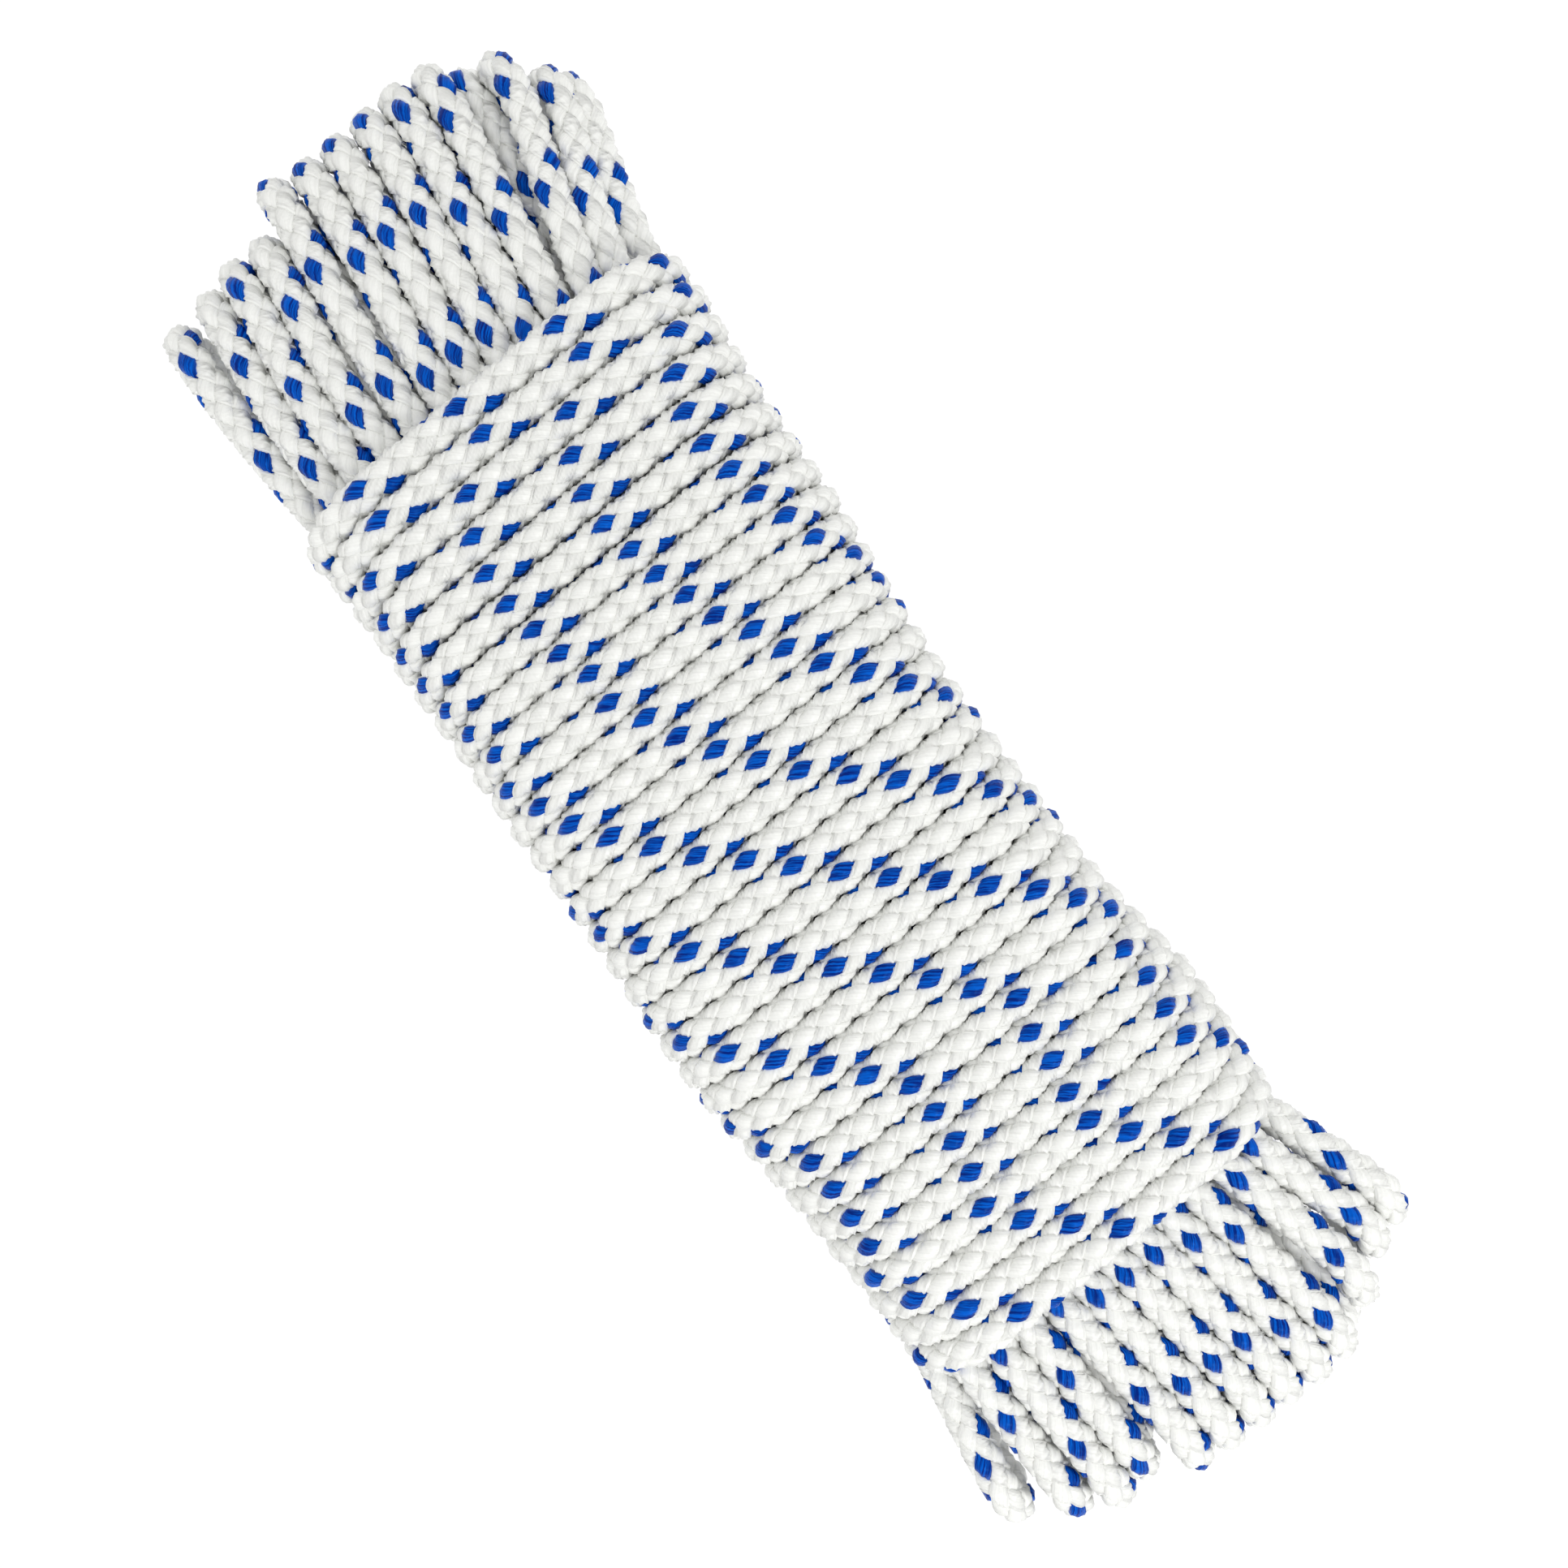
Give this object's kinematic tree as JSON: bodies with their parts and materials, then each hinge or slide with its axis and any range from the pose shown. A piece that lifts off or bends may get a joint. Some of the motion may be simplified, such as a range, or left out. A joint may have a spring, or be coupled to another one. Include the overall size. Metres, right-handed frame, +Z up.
{
  "type": "coiled dock line",
  "caption": "Hank of braided dock line: lengthwise loops with fanned bights at both ends, wrapped tightly round the middle with the same rope, with a blue tracer.",
  "frame": {"origin": "centre of the bounding box in X and Y, on the flat underside that the hank rests on", "axes": "+X along the hank towards the end where the wrap finishes, +Y across it, +Z up, so that the broad side lies on the floor"},
  "size_m": [0.394, 0.132, 0.0517],
  "materials": {
    "rope": "satin braided synthetic fibre, white with one blue tracer strand",
    "sealed_end": "melted and set fibre, satin"
  },
  "bodies": {
    "root": {"first_loops": "rope", "second_loops": "rope", "outer_loops": "rope", "wrap_turns": "rope", "finish_tail": "rope", "start_seal": "sealed_end", "finish_seal": "sealed_end"}
  },
  "joints": []
}
